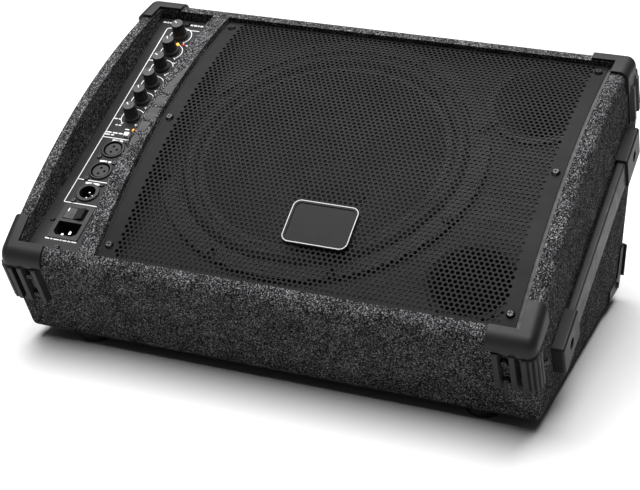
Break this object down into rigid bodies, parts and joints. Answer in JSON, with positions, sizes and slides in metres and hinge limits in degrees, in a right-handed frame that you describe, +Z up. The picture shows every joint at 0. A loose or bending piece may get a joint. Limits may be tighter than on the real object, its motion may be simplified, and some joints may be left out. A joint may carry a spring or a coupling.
{
  "type": "stage monitor wedge",
  "caption": "Active stage monitor wedge: carpeted sloping cabinet, curved perforated grille over a woofer and horn, control strip with knobs and sockets, strap handle.",
  "frame": {"origin": "centre of the overall box at the level of the feet", "axes": "+Z up, +X to the right seen from the listener's side, -Y is the front face, the sloping grille faces up and towards -Y"},
  "size_m": [0.5226, 0.3644, 0.2591],
  "materials": {
    "plywood": "matt",
    "carpet": "speckled dark grey needle-felt carpet",
    "wadding": "soft",
    "protector_plastic": "fine satin texture",
    "screw_black": "black oxide",
    "foot_rubber": "matt",
    "handle_plastic": "satin",
    "strap_rubber": "satin",
    "grille_paint": "satin powder coat",
    "badge_plate": "black with a thin pale border",
    "basket_paint": "satin",
    "ferrite": "matt ceramic",
    "zinc_steel": "zinc plated",
    "gasket_foam": "matt",
    "surround_rubber": "satin",
    "cone_paper": "matt pulp",
    "dust_cap_paper": "matt",
    "spider_cloth": "impregnated cloth",
    "coil_copper": "enamelled wire",
    "horn_plastic": "satin",
    "dome_film": "thin foil",
    "port_plastic": "satin",
    "panel_paint": "satin black with white printing",
    "chassis_steel": "galvanised",
    "knob_plastic": "fluted, with a white pointer",
    "pot_metal": "plated",
    "board_resin": "green solder mask",
    "lamp_lens": "coloured lens",
    "button_plastic": "light grey",
    "connector_shell": "black",
    "insert_plastic": "black",
    "contact_silver": "silver plated",
    "inlet_plastic": "black",
    "transformer_wrap": "wound tape",
    "sink_aluminium": "extruded"
  },
  "bodies": {
    "cabinet": {"side_panel_left": "plywood", "side_panel_right": "plywood", "front_board": "plywood", "bottom_board": "plywood", "rear_board": "plywood", "top_board": "plywood", "baffle_board": "plywood", "divider_board": "plywood", "mounting_battens": "plywood", "carpet_covering": "carpet", "damping_pads": "wadding", "protector_front_right": "protector_plastic", "protector_front_left": "protector_plastic", "protector_top_right": "protector_plastic", "protector_top_left": "protector_plastic", "protector_rear_right": "protector_plastic", "protector_rear_left": "protector_plastic", "cabinet_screws": "screw_black", "rubber_feet": "foot_rubber", "handle_caps": "handle_plastic", "handle_strap_ends": "strap_rubber", "grille": "grille_paint", "grille_screws": "screw_black", "badge": "badge_plate", "woofer_basket": "basket_paint", "woofer_magnet": "ferrite", "woofer_top_plate": "zinc_steel", "woofer_pole_piece": "zinc_steel", "woofer_gasket": "gasket_foam", "woofer_surround": "surround_rubber", "woofer_spider": "spider_cloth", "driver_screws": "screw_black", "horn": "horn_plastic", "tweeter_motor": "zinc_steel", "port_tube": "port_plastic", "control_panel": "panel_paint", "amp_chassis": "chassis_steel", "panel_screws": "screw_black", "potentiometers": "pot_metal", "circuit_board": "board_resin", "indicator_lamps": "lamp_lens", "xlr_shells": "connector_shell", "xlr_inserts": "insert_plastic", "connector_contacts": "contact_silver", "inlet_module": "inlet_plastic", "transformer": "transformer_wrap", "heat_sink": "sink_aluminium"},
    "cone_assembly": {"woofer_cone": "cone_paper", "woofer_dust_cap": "dust_cap_paper", "woofer_voice_coil": "coil_copper"},
    "tweeter_dome": {"tweeter_diaphragm": "dome_film"},
    "power_rocker": {"rocker": "inlet_plastic"},
    "select_button": {"push_button": "button_plastic"},
    "handle_strap": {"handle_grip": "strap_rubber"},
    "knob_body_1": {"knob_1": "knob_plastic"},
    "knob_body_2": {"knob_2": "knob_plastic"},
    "knob_body_3": {"knob_3": "knob_plastic"},
    "knob_body_4": {"knob_4": "knob_plastic"},
    "knob_body_5": {"knob_5": "knob_plastic"},
    "knob_body_6": {"knob_6": "knob_plastic"}
  },
  "joints": [
    {"name": "knob_1_turn", "type": "hinge", "parent": "cabinet", "child": "knob_body_1", "pos_m": [-0.211, 0.10682, 0.24114], "axis": [0, -0.4258, 0.9048], "range_deg": [-198, 102]},
    {"name": "knob_2_turn", "type": "hinge", "parent": "cabinet", "child": "knob_body_2", "pos_m": [-0.211, 0.08483, 0.23079], "axis": [0, -0.4258, 0.9048], "range_deg": [-178, 122]},
    {"name": "knob_3_turn", "type": "hinge", "parent": "cabinet", "child": "knob_body_3", "pos_m": [-0.211, 0.06284, 0.22045], "axis": [0, -0.4258, 0.9048], "range_deg": [-211, 89]},
    {"name": "knob_4_turn", "type": "hinge", "parent": "cabinet", "child": "knob_body_4", "pos_m": [-0.211, 0.04086, 0.2101], "axis": [0, -0.4258, 0.9048], "range_deg": [-139, 161]},
    {"name": "knob_5_turn", "type": "hinge", "parent": "cabinet", "child": "knob_body_5", "pos_m": [-0.211, 0.01887, 0.19975], "axis": [0, -0.4258, 0.9048], "range_deg": [-177, 123]},
    {"name": "knob_6_turn", "type": "hinge", "parent": "cabinet", "child": "knob_body_6", "pos_m": [-0.211, -0.00312, 0.18941], "axis": [0, -0.4258, 0.9048], "range_deg": [-195, 105]},
    {"name": "select_button_press", "type": "slide", "parent": "cabinet", "child": "select_button", "axis": [0, 0.4258, -0.9048], "range_m": [0, 0.002], "stiffness_N_per_m": 400, "springref_m": -0.002},
    {"name": "power_rocker_tip", "type": "hinge", "parent": "cabinet", "child": "power_rocker", "pos_m": [-0.2105, -0.11832, 0.12304], "axis": [0, 0.9048, 0.4258], "range_deg": [0, 16]},
    {"name": "woofer_excursion", "type": "slide", "parent": "cabinet", "child": "cone_assembly", "axis": [0, -0.4258, 0.9048], "range_m": [-0.005, 0.005], "stiffness_N_per_m": 4500, "deforming": ["woofer_surround", "woofer_spider"]},
    {"name": "tweeter_excursion", "type": "slide", "parent": "cabinet", "child": "tweeter_dome", "axis": [0, -0.4258, 0.9048], "range_m": [-0.0003, 0.0003], "stiffness_N_per_m": 2500},
    {"name": "handle_lift", "type": "slide", "parent": "cabinet", "child": "handle_strap", "axis": [1, 0, 0], "range_m": [0, 0.02], "stiffness_N_per_m": 600, "springref_m": -0.002, "deforming": ["handle_strap_ends"]}
  ]
}
